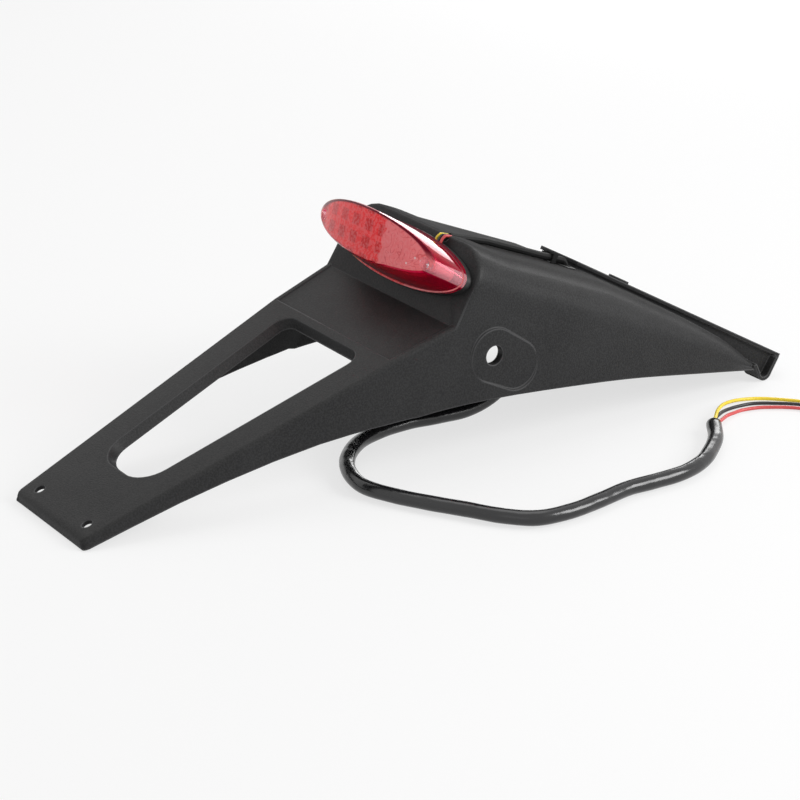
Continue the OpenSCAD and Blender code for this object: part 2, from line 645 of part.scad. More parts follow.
module lamp_diodes() {
    color([0.85, 0.3, 0.3]) in_place() at_lamp() for (p = led_places())
        translate([p[0], p[1], board_z + board_t]) {
            translate([-led_w / 2, -led_w / 2, 0]) cube([led_w, led_w, led_h]);
            translate([0, 0, led_h - 0.2]) cylinder(d = led_w * 0.45, h = 1.4);
        }
}
// Bright plate with a window for each diode, and a panel of prisms beside them
module lamp_reflector() {
    z = board_z + board_t + 1.2;
    prism_w = 2;
    prism_x = led_x0 + led_columns * led_pitch - led_pitch / 2 + 1.5;
    prism_n = floor((lens_screw_x - tube_d / 2 - 6 - prism_x) / prism_w);
    color([0.85, 0.75, 0.75]) in_place() at_lamp() {
        difference() {
            oval_plate(z, z + 1, board_half + 0.2, board_half_h);
            for (p = led_places()) translate([p[0] - led_w / 2 - 0.2, p[1] - led_w / 2 - 0.2, z - 1])
                cube([led_w + 0.4, led_w + 0.4, 3]);
        }
        for (i = [0:prism_n - 1]) translate([prism_x + i * prism_w, 6 - i * 0.3, z + 0.9]) rotate([90, 0, 0])
            linear_extrude(12 - i * 0.6) polygon([[0, 0], [prism_w, 0], [prism_w / 2, prism_w / 2]]);
    }
}
module lens_screw() {
    seat = screw_seat();
    translate([lens_screw_x, lens_screw_up, 0]) difference() {
        union() {
            translate([0, 0, seat]) cylinder(d = screw_head_d, h = 1.5);
            translate([0, 0, seat + 1.5]) cylinder(d1 = screw_head_d, d2 = screw_head_d - 1.6, h = 0.7);
            translate([0, 0, base_top + 0.4]) cylinder(d = screw_d, h = seat - base_top);
        }
        for (a = [0, 90]) rotate([0, 0, a]) translate([0, 0, seat + 2]) cube([3.2, 0.7, 2], center = true);
    }
}
module lens_screw_left() { color([0.8, 0.8, 0.82]) in_place() at_lamp() mirror([1, 0, 0]) lens_screw(); }
module lens_screw_right() { color([0.8, 0.8, 0.82]) in_place() at_lamp() lens_screw(); }
// Fixings of the lamp, behind its face
washer_t = 1;
behind = -wall - gap - 0.1;
module lamp_bolt() {
    translate([lamp_bolt_x, 0, behind - washer_t - 3.5]) cylinder(d = 9.2, h = 3.5, $fn = 6);
    translate([lamp_bolt_x, 0, behind - washer_t - 0.1])
        cylinder(d = bolt_d, h = board_z - 1.6 - behind + washer_t);
}
module lamp_bolt_left() { color([0.75, 0.75, 0.77]) in_place() at_lamp() mirror([1, 0, 0]) lamp_bolt(); }
module lamp_bolt_right() { color([0.75, 0.75, 0.77]) in_place() at_lamp() lamp_bolt(); }
module lamp_washer() {
    translate([lamp_bolt_x, 0, behind - washer_t]) difference() {
        cylinder(d = 11, h = washer_t);
        translate([0, 0, -1]) cylinder(d = bolt_d + 0.4, h = 4);
    }
}
module lamp_washer_left() { color([0.8, 0.8, 0.8]) in_place() at_lamp() mirror([1, 0, 0]) lamp_washer(); }
module lamp_washer_right() { color([0.8, 0.8, 0.8]) in_place() at_lamp() lamp_washer(); }

// Round cord swept along a path: rings of n points that keep their turn along the path
function unit(v) = v / norm(v);
function tangent(path, i) = unit(path[min(i + 1, len(path) - 1)] - path[max(i - 1, 0)]);
function ring_sides(path, i = 0, before = [1, 0.3, 0.2]) = i == len(path) ? [] :
    let(t = tangent(path, i), u = unit(before - (before * t) * t))
    concat([u], ring_sides(path, i + 1, u));
module cord(path, d, n = 8) {
    sides = ring_sides(path);
    m = len(path);
    points = [for (i = [0:m - 1]) let(t = tangent(path, i), u = sides[i], v = cross(t, u)) each
        [for (k = [0:n - 1]) path[i] + d / 2 * (cos(360 * k / n) * u + sin(360 * k / n) * v)]];
    faces = concat(
        [[for (k = [0:n - 1]) k]],
        [for (j = [0:m - 2], k = [0:n - 1]) let(k1 = (k + 1) % n) each
            [[j * n + k, (j + 1) * n + k, (j + 1) * n + k1], [j * n + k, (j + 1) * n + k1, j * n + k1]]],
        [[for (k = [n - 1:-1:0]) (m - 1) * n + k]]);
    polyhedron(points = points, faces = faces, convexity = 10);
}

// Loom on the deck, from the groove over the brow to the hole beside the frame's nose
loom_lift = loom_d / 2 + gap;
loom_bend = 4.5;
function on_deck(s, x, lift) = [x, s, deck_h(s, x) + lift];
// Route of the sleeve: down inside the hood, over the ground and round to its open end
sleeve_route = [[17, 88, 75], [17, 83, 66], [16, 77, 54], [15, 72, 42], [13, 67, 30], [11, 59, 18], [9, 47, 9],
    [8, 33, 5], [6, 16, 4.4], [3, -2, 4.3], [4, -20, 4.3], [10, -39, 4.3], [23, -55, 4.3], [39, -65, 4.3],
    [58, -69, 4.3], [76, -63, 4.3], [94, -53, 4.3], [111, -42, 4.3], [127, -32, 4.3], [139, -19, 4.3],
    [142, 0, 4.3], [140, 20, 4.3], [137, 40, 4.3], [138, 58, 4.3], [138, 76, 4.3], [133, 93, 4.3],
    [124, 107, 4.3], [113, 120, 4.3], [99, 131, 4.3]];
// Routes of the three wires from the sleeve's end to their bullets
wire_yellow_route = [[98.8, 131.2, 5.7], [93, 137.5, 5.5], [87, 144, 5], [82, 151, 4.4], [79, 157, 3.6],
    [77, 164, 2.6], [77, 170, 2], [78, 176, 1.4], [80, 181, 1.1], [84, 186, 1.1], [90, 192, 1.1], [96, 197, 1.1],
    [103, 201.5, 1.1], [110, 207, 1.1], [117, 214, 1.1]];
wire_black_route = [[98, 130.2, 3.3], [93, 136, 3.1], [88.5, 143, 2.8], [84.5, 150.5, 2.2], [82.5, 158, 1.6],
    [82, 165, 1.2], [83, 172, 1.1], [86, 178, 1.1], [90, 183.5, 1.1], [94, 188.5, 1.1], [99, 193.5, 1.1],
    [106, 198, 1.1], [115, 203, 1.1], [125, 208.5, 1.1]];
wire_red_route = [[99.4, 132.2, 3.3], [96, 137, 2.8], [92.5, 143, 2.2], [89.5, 149, 1.8], [88, 155, 1.4],
    [87, 161, 1.1], [88, 167, 1.1], [90, 173, 1.1], [93, 178, 1.1], [96.5, 183, 1.1], [100.5, 187.5, 1.1],
    [105, 191.5, 1.1], [111, 195.5, 1.1], [119, 199, 1.1]];
loom_end = to_hood(sleeve_route[0][1] + mid_y, sleeve_route[0][2]);
loom_path = concat(
    [for (s = [3, 8, 13, 18]) [groove_x, s, groove_h + s * tan(groove_rise) - 0.4]],
    [for (s = [26:10:66]) on_deck(s, loom_at(s), loom_lift)],
    [on_deck(76, loom_at(76), loom_lift + 0.2)],
    [for (a = [90:-18:0]) on_deck(loom_s + 0.8 - loom_bend + loom_bend * cos(a), loom_x,
        loom_lift + 0.3 - loom_bend + loom_bend * sin(a))],
    [for (up = [2.2, 0.15]) [sleeve_route[0][0], loom_end[0], loom_end[1] + up]]);
module upper_loom() { color([0.07, 0.07, 0.07]) in_place() on_hood() cord(loom_path, loom_d, 10); }
module deck_grommet() {
    flange_d = loom_hole_d + 3;
    color([0.08, 0.08, 0.08]) in_place() at_loom_hole() difference() {
        union() {
            translate([0, 0, 0.15]) cylinder(d = flange_d, h = 0.35);
            translate([0, 0, -wall - 0.4]) cylinder(d = loom_hole_d - 0.2, h = wall + 1);
            translate([0, 0, -wall - 1.7]) cylinder(d = flange_d, h = 1.3);
        }
        translate([0, 0, -10]) cylinder(d = loom_d + 3.4, h = 20);
    }
}
// Tie round the loom and through the deck's two slots
module loom_tie() {
    low = deck_h(tie_s, tie_x) - wall - 1.3;
    high = deck_h(tie_s, tie_x) + loom_d + gap + 0.5;
    inner_w = loom_d + 1.8;
    band = 0.6;
    color([0.05, 0.05, 0.05]) in_place() on_hood()
        translate([tie_x, tie_s + tie_w / 2, 0]) rotate([90, 0, 0]) {
        linear_extrude(tie_w) difference() {
            translate([-inner_w / 2 - band, low]) square([inner_w + 2 * band, high + band - low]);
            translate([-inner_w / 2, low + band]) square([inner_w, high - low - band]);
        }
        translate([-inner_w / 2 - band - 2.6, high - 4, -0.6]) cube([2.8, 3.4, tie_w + 1.2]);
    }
}

// Short leads from the lamp's base over the brow to the loom
module lead(dx, tone) {
    apart = dx * (lead_d + 0.1);
    color(tone) in_place() on_hood() cord([[groove_x + apart * 1.3, -base_top + 1.2, lamp_up + lens_half_h - 2.4],
        [groove_x + apart * 1.3, -base_top + 1.2, lamp_up + lens_half_h + 0.4],
        [groove_x + apart * 1.2, -1.9, lamp_up + lens_half_h + 2.4],
        [groove_x + apart, -0.4, groove_h + 0.2],
        [groove_x + apart, 2.6, groove_h + 0.7]], lead_d, 8);
}
module lead_yellow() { lead(-1, [0.9, 0.8, 0.15]); }
module lead_black() { lead(0, [0.08, 0.08, 0.08]); }
module lead_red() { lead(1, [0.8, 0.2, 0.2]); }

module loom_sleeve() { color([0.06, 0.06, 0.06]) cord(sleeve_route, sleeve_d, 10); }
module wire_yellow() { color([0.91, 0.8, 0.15]) cord(wire_yellow_route, wire_d, 8); }
module wire_black() { color([0.08, 0.08, 0.08]) cord(wire_black_route, wire_d, 8); }
module wire_red() { color([0.8, 0.28, 0.28]) cord(wire_red_route, wire_d, 8); }

// Bullet terminal on the end of a wire, lying along the wire's last stretch
module bullet(route) {
    last = route[len(route) - 1];
    way = unit(last - route[len(route) - 2]);
    barrel_d = 2.8;
    pin_d = 3.9;
    color([0.85, 0.7, 0.35]) translate([last[0], last[1], pin_d / 2]) rotate([0, 0, atan2(way[1], way[0])])
        rotate([0, 90, 0]) {
            translate([0, 0, 0.2]) cylinder(d = barrel_d, h = 6.2);
            translate([0, 0, 6]) cylinder(d = pin_d, h = 9);
            translate([0, 0, 15]) cylinder(d1 = pin_d, d2 = pin_d * 0.55, h = 2.4);
        }
}
module bullet_yellow() { bullet(wire_yellow_route); }
module bullet_black() { bullet(wire_black_route); }
module bullet_red() { bullet(wire_red_route); }

tail_moulding();
lamp_gasket();
lamp_base();
lamp_reflector();
led_board();
lamp_diodes();
lamp_lens();
lens_screw_left();
lens_screw_right();
lamp_bolt_left();
lamp_bolt_right();
lamp_washer_left();
lamp_washer_right();
deck_grommet();
loom_tie();
upper_loom();
lead_yellow();
lead_black();
lead_red();
loom_sleeve();
wire_yellow();
wire_black();
wire_red();
bullet_yellow();
bullet_black();
bullet_red();
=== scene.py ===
"""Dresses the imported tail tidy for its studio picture: moulding, lamp, wiring and light."""

from __future__ import annotations

import json
import logging
import math
from dataclasses import dataclass, field
from enum import Enum

import bpy
import numpy as np
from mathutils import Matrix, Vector

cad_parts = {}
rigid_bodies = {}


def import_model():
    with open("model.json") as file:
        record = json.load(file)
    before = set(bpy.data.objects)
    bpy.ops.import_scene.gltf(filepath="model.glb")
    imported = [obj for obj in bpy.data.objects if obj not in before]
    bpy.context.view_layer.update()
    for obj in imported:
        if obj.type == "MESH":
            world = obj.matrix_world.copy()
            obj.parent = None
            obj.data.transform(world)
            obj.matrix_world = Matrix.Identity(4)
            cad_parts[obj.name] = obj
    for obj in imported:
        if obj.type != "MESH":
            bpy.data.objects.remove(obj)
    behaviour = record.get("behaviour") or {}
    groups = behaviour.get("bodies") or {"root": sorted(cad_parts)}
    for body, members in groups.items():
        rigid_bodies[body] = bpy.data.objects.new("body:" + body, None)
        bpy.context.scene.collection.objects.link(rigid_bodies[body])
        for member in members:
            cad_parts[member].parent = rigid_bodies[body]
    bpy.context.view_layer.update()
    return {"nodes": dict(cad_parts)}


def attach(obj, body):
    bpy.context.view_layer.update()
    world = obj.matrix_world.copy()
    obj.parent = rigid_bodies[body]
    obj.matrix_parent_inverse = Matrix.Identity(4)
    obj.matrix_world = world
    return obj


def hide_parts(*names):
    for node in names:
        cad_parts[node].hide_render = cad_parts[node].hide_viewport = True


LOG = logging.getLogger("tail_tidy")
MM = 0.001
NUMBER = "NodeSocketFloat"
VECTOR = "NodeSocketVector"
WHITE = (1.0, 1.0, 1.0)
PALER = 1.12
LIFT = 0.004
Colour = tuple[float, float, float]
Point = tuple[float, float, float]
Socket = bpy.types.NodeSocket


class Insulation(Enum):
    """Colours of the wires' insulation."""

    YELLOW = (0.83, 0.62, 0.03)
    BLACK = (0.012, 0.012, 0.013)
    RED = (0.58, 0.07, 0.07)


def shade(colour: Colour, by: Colour) -> Colour:
    """Returns the colour with each of its parts scaled, and held at 1."""
    return tuple(min(1.0, part * share) for part, share in zip(colour, by))


class Tree:
    """Short way to add and join nodes in one node tree."""

    def __init__(self, tree: bpy.types.NodeTree) -> None:
        """Keeps the node tree of a material, world or group."""
        self.tree = tree

    def add(self, kind: str, settings: dict[str, object] | None = None, **sockets: object) -> bpy.types.Node:
        """Adds one node.

        Args:
            kind: Blender's node type.
            settings: properties of the node.
            sockets: input values or output sockets, by the input's name with _ for a space.

        Returns:
            The new node.
        """
        node = self.tree.nodes.new(kind)
        for name, value in (settings or {}).items():
            setattr(node, name, value)
        for name, value in sockets.items():
            self.feed(node, name.replace("_", " "), value)
        return node

    def feed(self, node: bpy.types.Node, name: str | int, value: object) -> None:
        """Sets or joins one input.

        Args:
            node: the node that owns the input.
            name: the input's name or number.
            value: a number, colour or output socket.
        """
        socket = node.inputs[name]
        if isinstance(value, Socket):
            self.tree.links.new(value, socket)
        else:
            if isinstance(value, tuple) and len(value) == 3 and socket.type == "RGBA":
                value = (*value, 1.0)
            socket.default_value = value

    def blend(self, mask: Socket, low: object, high: object) -> Socket:
        """Mixes two colours by a mask.

        Args:
            mask: 0 for the low colour and 1 for the high one.
            low: colour or socket.
            high: colour or socket.

        Returns:
            The mixed colour.
        """
        node = self.add("ShaderNodeMix", {"data_type": "RGBA"})
        for place, value in ((0, mask), (6, low), (7, high)):
            self.feed(node, place, value)
        return node.outputs[2]

    def calc(self, operation: str, *values: object) -> Socket:
        """Adds one step of arithmetic.

        Args:
            operation: name of the Math node's operation.
            values: numbers or sockets.

        Returns:
            The result.
        """
        node = self.add("ShaderNodeMath", {"operation": operation})
        for number, value in enumerate(values):
            self.feed(node, number, value)
        return node.outputs[0]

    def dot(self, value: Socket, other: Socket | Point) -> Socket:
        """Multiplies two vectors.

        Args:
            value: first vector.
            other: second vector.

        Returns:
            Their dot product.
        """
        node = self.add("ShaderNodeVectorMath", {"operation": "DOT_PRODUCT"})
        self.feed(node, 0, value)
        self.feed(node, 1, other)
        return node.outputs["Value"]

    def step(self, value: Socket, low: float, high: float, soft: bool = True) -> Socket:
        """Turns a value into a step.

        Args:
            value: the socket to test.
            low: value at which the result is 0.
            high: value at which the result is 1.
            soft: whether the step's ends are rounded.

        Returns:
            The step.
        """
        kind = {"interpolation_type": "SMOOTHSTEP" if soft else "LINEAR"}
        node = self.add("ShaderNodeMapRange", kind, Value=value, From_Min=low, From_Max=high)
        return node.outputs[0]

    def between(self, value: Socket, low: float, high: float) -> Socket:
        """Maps a value from 0 to 1 onto the range from low to high."""
        return self.add("ShaderNodeMapRange", Value=value, To_Min=low, To_Max=high).outputs[0]

    def showing(self, rays: bpy.types.Node) -> Socket:
        """Returns 1 for rays that show the white background, straight or in metal and glass."""
        direct = self.calc("MAXIMUM", rays.outputs["Is Camera Ray"], rays.outputs["Is Transmission Ray"])
        return self.calc("MAXIMUM", direct, rays.outputs["Is Glossy Ray"])

    def mixed(self, share: Socket, low: bpy.types.Node, high: bpy.types.Node) -> None:
        """Mixes two shaders into the material's output.

        Args:
            share: 0 for the low shader and 1 for the high one.
            low: first shader.
            high: second shader.
        """
        mix = self.add("ShaderNodeMixShader")
        for place, value in enumerate((share, low.outputs[0], high.outputs[0])):
            self.feed(mix, place, value)
        self.feed(self.tree.nodes["Material Output"], 0, mix.outputs[0])


def new_material(name: str) -> tuple[bpy.types.Material, Tree, bpy.types.Node]:
    """Makes a material with its Principled shader.

    Args:
        name: the material's name.

    Returns:
        The material, a helper on its tree and the shader.
    """
    made = bpy.data.materials.new(name)
    made.use_nodes = True
    return made, Tree(made.node_tree), made.node_tree.nodes["Principled BSDF"]


class Effects:
    """Shader groups that several finishes share. Each is built once."""

    PIT_SHARE = 0.5
    HAZE_BAND = (0.3, 0.7)
    UP_BAND = (0.2, 1.0)
    EDGE_BAND = (0.995, 0.93)
    EDGE_RAYS = 8

    @staticmethod
    def _new(name: str, inputs: dict[str, float], outputs: dict[str, str]) -> tuple[bpy.types.NodeTree, Tree]:
        """Makes an empty group.

        Args:
            name: the group's name.
            inputs: number inputs and their first values.
            outputs: outputs and their kinds.

        Returns:
            The group and a helper on it.
        """
        group = bpy.data.node_groups.new(name, "ShaderNodeTree")
        for label, value in inputs.items():
            socket = group.interface.new_socket(label, in_out="INPUT", socket_type=NUMBER)
            socket.default_value = value
        for label, kind in outputs.items():
            group.interface.new_socket(label, in_out="OUTPUT", socket_type=kind)
        return group, Tree(group)

    @staticmethod
    def _close(tree: Tree, *results: Socket) -> None:
        """Feeds the group's outputs in their order.

        Args:
            tree: the group's helper.
            results: what each output gives.
        """
        sink = tree.add("NodeGroupOutput")
        for number, value in enumerate(results):
            tree.feed(sink, number, value)

    @classmethod
    def grain(cls) -> bpy.types.NodeTree:
        """Fine moulded grain over slow waves.

        Returns:
            A group with Height, Mottle and Haze outputs.
        """
        name = "Moulded grain"
        found = bpy.data.node_groups.get(name)
        if found:
            return found
        outputs = {"Height": NUMBER, "Mottle": NUMBER, "Haze": NUMBER}
        group, tree = cls._new(name, {"Grain Scale": 1500.0, "Haze Scale": 30.0}, outputs)
        source = tree.add("NodeGroupInput")
        where = tree.add("ShaderNodeTexCoord").outputs["Object"]
        noise = "ShaderNodeTexNoise"
        fine = tree.add(noise, Vector=where, Scale=source.outputs[0], Detail=2.0, Roughness=0.6).outputs[0]
        slow = tree.add(noise, Vector=where, Scale=source.outputs[1], Detail=4.0, Roughness=0.55).outputs[0]
        pits = tree.add("ShaderNodeTexVoronoi", Vector=where, Scale=source.outputs[0])
        height = tree.calc("MULTIPLY_ADD", pits.outputs["Distance"], cls.PIT_SHARE, fine)
        cls._close(tree, height, fine, tree.step(slow, *cls.HAZE_BAND, soft=False))
        return group

    @classmethod
    def place_grain(cls, tree: Tree, grain_scale: float, haze_scale: float = 30.0) -> bpy.types.Node:
        """Puts the grain group into a material, with the scales of its grain and its slow waves."""
        kind = {"node_tree": cls.grain()}
        return tree.add("ShaderNodeGroup", kind, Grain_Scale=grain_scale, Haze_Scale=haze_scale)

    @classmethod
    def dust(cls) -> bpy.types.NodeTree:
        """A thin veil of dust on surfaces that face up.

        Returns:
            A group with a Mask output.
        """
        name = "Dust veil"
        found = bpy.data.node_groups.get(name)
        if found:
            return found
        group, tree = cls._new(name, {"Amount": 0.1, "Scale": 120.0}, {"Mask": NUMBER})
        source = tree.add("NodeGroupInput")
        normal = tree.add("ShaderNodeNewGeometry").outputs["Normal"]
        up = tree.add("ShaderNodeSeparateXYZ", Vector=normal).outputs[2]
        where = tree.add("ShaderNodeTexCoord").outputs["Object"]
        cloud = tree.add("ShaderNodeTexNoise", Vector=where, Scale=source.outputs[1], Detail=6.0, Roughness=0.7)
        veil = tree.calc("MULTIPLY", tree.step(up, *cls.UP_BAND, soft=False), cloud.outputs[0])
        cls._close(tree, tree.calc("MULTIPLY", veil, source.outputs[0]))
        return group

    @classmethod
    def edge(cls) -> bpy.types.NodeTree:
        """Light that rounded edges catch.

        Returns:
            A group with a Mask output and the rounded Normal.
        """
        name = "Edge light"
        found = bpy.data.node_groups.get(name)
        if found:
            return found
        group, tree = cls._new(name, {"Radius": 0.001}, {"Mask": NUMBER, "Normal": VECTOR})
        source = tree.add("NodeGroupInput")
        rounded = tree.add("ShaderNodeBevel", {"samples": cls.EDGE_RAYS}, Radius=source.outputs[0]).outputs[0]
        likeness = tree.dot(rounded, tree.add("ShaderNodeNewGeometry").outputs["Normal"])
        cls._close(tree, tree.step(likeness, *cls.EDGE_BAND), rounded)
        return group


@dataclass(frozen=True)
class Plastic:
    """Moulded plastic or rubber with grain, haze and a trace of dust.

    Lengths are in metres. speckle, edge_light, crumple, soft_edge and coat are left out at 0.
    """

    name: str
    colour: Colour
    pale: Colour
    rough: tuple[float, float] = (0.45, 0.6)
    grain_scale: float = 1500.0
    grain_depth: float = 0.00007
    dust: float = 0.05
    dust_colour: Colour = (0.3, 0.29, 0.27)
    soft_edge: float = 0.0
    edge_light: float = 0.0
    edge_bright: float = 3.0
    speckle: float = 0.0
    speckle_bright: float = 2.6
    speckle_band: tuple[float, float] = (0.36, 0.66)
    crumple: float = 0.0
    crease_scale: float = 55.0
    coat: float = 0.0
    coat_rough: float = 0.12
    specular: float = 0.5
    dull_when_grazed: bool = False
    dull_band: tuple[float, float] = (0.35, 0.8)

    def _colour(self, tree: Tree, grain: bpy.types.Node) -> Socket:
        """Mixes the plastic's own colour with speckles and dust.

        Args:
            tree: the material's tree.
            grain: the grain group placed in it.

        Returns:
            The colour without the edges' light.
        """
        body = tree.blend(grain.outputs["Haze"], self.colour, self.pale)
        if self.speckle:
            dots = tree.calc("MULTIPLY", tree.step(grain.outputs["Mottle"], *self.speckle_band), self.speckle)
            body = tree.blend(dots, body, shade(self.pale, (self.speckle_bright,) * 3))
        dust = tree.add("ShaderNodeGroup", {"node_tree": Effects.dust()}, Amount=self.dust)
        return tree.blend(dust.outputs["Mask"], body, self.dust_colour)

    def _creases(self, tree: Tree) -> Socket:
        """Makes the slack creases of soft vinyl.

        Args:
            tree: the material's tree.

        Returns:
            The creased normal.
        """
        where = tree.add("ShaderNodeTexCoord").outputs["Object"]
        folds = tree.add("ShaderNodeTexNoise", Vector=where, Scale=self.crease_scale, Detail=2.0, Distortion=0.4)
        return tree.add("ShaderNodeBump", Height=folds.outputs[0], Distance=self.crumple).outputs[0]

    def _roughness(self, tree: Tree, grain: bpy.types.Node) -> Socket:
        """Finds the roughness, which rises to 1 at grazing angles where the finish is dull.

        Args:
            tree: the material's tree.
            grain: the grain group placed in it.

        Returns:
            The roughness.
        """
        rough = tree.between(grain.outputs["Haze"], *self.rough)
        if self.dull_when_grazed:
            view = tree.add("ShaderNodeLayerWeight", Blend=0.5)
            rough = tree.calc("MAXIMUM", rough, tree.step(view.outputs["Facing"], *self.dull_band))
        return rough

    def material(self) -> bpy.types.Material:
        """Builds the finish.

        Returns:
            The material, made on first use.
        """
        found = bpy.data.materials.get(self.name)
        if found:
            return found
        made, tree, shader = new_material(self.name)
        grain = Effects.place_grain(tree, self.grain_scale)
        bump = tree.add("ShaderNodeBump", Height=grain.outputs["Height"], Distance=self.grain_depth)
        body = self._colour(tree, grain)
        if self.crumple:
            tree.feed(bump, "Normal", self._creases(tree))
        if self.soft_edge:
            edge = tree.add("ShaderNodeGroup", {"node_tree": Effects.edge()}, Radius=self.soft_edge)
            tree.feed(bump, "Normal", edge.outputs["Normal"])
            # painted highlight: the edge mask lightens the base colour along rounded edges
            lit = tree.calc("MULTIPLY", edge.outputs["Mask"], self.edge_light)
            body = tree.blend(lit, body, shade(self.pale, (self.edge_bright,) * 3))
        tree.feed(shader, "Base Color", body)
        tree.feed(shader, "Normal", bump.outputs[0])
        tree.feed(shader, "Roughness", self._roughness(tree, grain))
        shader.inputs["Specular IOR Level"].default_value = self.specular
        if self.coat:
            shader.inputs["Coat Weight"].default_value = self.coat
            shader.inputs["Coat Roughness"].default_value = self.coat_rough
        return made


@dataclass(frozen=True)
class Metal:
    """Plated metal with fine turning marks."""

    name: str
    colour: Colour
    pale: Colour
    rough: tuple[float, float] = (0.22, 0.4)
    mark_scale: float = 900.0
    mark_depth: float = 0.00002
    haze_scale: float = 400.0

    def material(self) -> bpy.types.Material:
        """Builds the finish.

        Returns:
            The material, made on first use.
        """
        found = bpy.data.materials.get(self.name)
        if found:
            return found
        made, tree, shader = new_material(self.name)
        grain = Effects.place_grain(tree, self.mark_scale, self.haze_scale)
        tree.feed(shader, "Base Color", tree.blend(grain.outputs["Haze"], self.colour, self.pale))
        tree.feed(shader, "Roughness", tree.between(grain.outputs["Haze"], *self.rough))
        shader.inputs["Metallic"].default_value = 1.0
        bump = tree.add("ShaderNodeBump", Height=grain.outputs["Height"], Distance=self.mark_depth)
        tree.feed(shader, "Normal", bump.outputs[0])
        return made


@dataclass(frozen=True)
class RedLens:
    """Red acrylic lens: a pebbled front that scatters light and a clear skirt.

    Places on the front are shares of its half length and half height, counted from its middle. Lengths are in metres.
    The pairs from pebble_glint_band on are where a mask starts and where it is full, apart from the places of the pins.
    """

    name: str
    front: Colour
    skirt: Colour
    pale: Colour = (1.0, 0.27, 0.28)
    # painted glints: pale dots on the pebbles of the front
    pebble_glint_colour: Colour = (1.0, 0.4375, 0.45)
    # painted shade: dark maroon for the band along the front's upper edge
    edge_shade_colour: Colour = (0.13, 0.002, 0.015)
    # painted light: amber glow in the rim at the front's left end
    rim_glow_colour: Colour = (0.7, 0.3, 0.06)
    # near-white painted highlight for the two moulding pins
    pin_glint_colour: Colour = (1.0, 0.8, 0.8)
    pillar_colour: Colour = (0.96, 0.5, 0.55)
    diode_shade: Colour = (0.62, 0.3, 0.3)
    line_shade: Colour = (0.6, 0.4, 0.4)
    inner_tint: Colour = (0.97, 0.84, 0.84)
    shine: tuple[float, float, float, float] = (1.0, 0.08, 0.16, 1.0)
    ior: float = 1.49
    front_clear: float = 0.3
    skirt_clear: float = 0.72
    front_rough: float = 0.07
    skirt_rough: float = 0.02
    front_facing: float = 0.79
    axis: Point = (0.0, -0.866, 0.5)
    rise: Point = (0.0, 0.5, 0.866)
    middle: float = 0.08684
    half: tuple[float, float] = (0.0532, 0.0131)
    pebble_scale: float = 620.0
    pebble_depth: float = 0.00008
    pebble_strength: float = 0.35
    haze_scale: float = 140.0
    pebble_glint_band: tuple[float, float] = (0.4, 0.62)
    pebble_glint_strength: float = 0.3
    pale_band: tuple[float, float] = (0.33, 0.35)
    pale_waver: float = 0.09
    edge_shade_ring: tuple[float, float] = (0.76, 0.84)
    edge_shade_rise: tuple[float, float] = (0.0, 0.4)
    rim_glow_ring: tuple[float, float] = (0.9, 0.98)
    rim_glow_end: tuple[float, float] = (-0.4, -0.75)
    line_scale: float = 130.0
    line_count: float = 6.0
    line_width: tuple[float, float] = (0.09, 0.03)
    line_from: tuple[float, float] = (0.3, 0.36)
    line_strength: float = 0.45
    pins: tuple[tuple[float, float], tuple[float, float]] = ((0.757, -0.079), (0.665, -0.405))
    pin_rim: tuple[float, float] = (0.0008, 0.0004)
    pillar_high: float = -0.1145
    pillar_from: tuple[float, float] = (0.041, 0.042)
    pillar_rim: tuple[float, float] = (0.0037, 0.0032)
    column_half: float = 0.1128
    column_shift: float = 10.2176
    column_gap: tuple[float, float] = (0.046, 0.054)
    row_half: float = 0.34
    row_shift: float = 9.52
    row_gap: tuple[float, float] = (0.09, 0.14)
    last_column: tuple[float, float] = (0.3, 0.26)
    diode_strength: float = 0.8

    def _place(self, tree: Tree) -> tuple[Socket, Socket]:
        """Finds a point's place on the front.

        Args:
            tree: the material's tree.

        Returns:
            Sockets that run from -1 to 1 along the front's length and its height.
        """
        where = tree.add("ShaderNodeTexCoord").outputs["Object"]
        across = tree.add("ShaderNodeSeparateXYZ", Vector=where).outputs[0]
        lift = tree.calc("SUBTRACT", tree.dot(where, self.rise), self.middle)
        return tree.calc("DIVIDE", across, self.half[0]), tree.calc("DIVIDE", lift, self.half[1])

    @staticmethod
    def _ring(tree: Tree, along: Socket, high: Socket) -> Socket:
        """Returns the square of how far out a point is, 1 on the front's own oval."""
        return tree.calc("ADD", tree.calc("MULTIPLY", along, along), tree.calc("MULTIPLY", high, high))

    def _edge_shade_mask(self, tree: Tree, along: Socket, high: Socket) -> Socket:
        """Finds the band along the front's upper edge, where dark maroon is painted as shade on the skirt seen behind
        it.
        """
        band = tree.step(self._ring(tree, along, high), *self.edge_shade_ring)
        return tree.calc("MULTIPLY", band, tree.step(high, *self.edge_shade_rise))

    def _rim_glow_mask(self, tree: Tree, along: Socket, high: Socket) -> Socket:
        """Finds the edge round the front's left end, where an amber glow of caught light is painted."""
        rim = tree.step(self._ring(tree, along, high), *self.rim_glow_ring)
        return tree.calc("MULTIPLY", rim, tree.step(along, *self.rim_glow_end))

    def _pillar_mask(self, tree: Tree) -> Socket:
        """Finds the screw pillars and the strips of the skirt before them.

        Args:
            tree: the material's tree.

        Returns:
            1 on the pillars and their strips and 0 elsewhere.
        """
        along, high = self._place(tree)
        across = tree.calc("ABSOLUTE", tree.calc("MULTIPLY", along, self.half[0]))
        lift = tree.calc("SUBTRACT", high, self.pillar_high)
        up = tree.calc("ABSOLUTE", tree.calc("MULTIPLY", lift, self.half[1]))
        return tree.calc("MULTIPLY", tree.step(across, *self.pillar_from), tree.step(up, *self.pillar_rim))

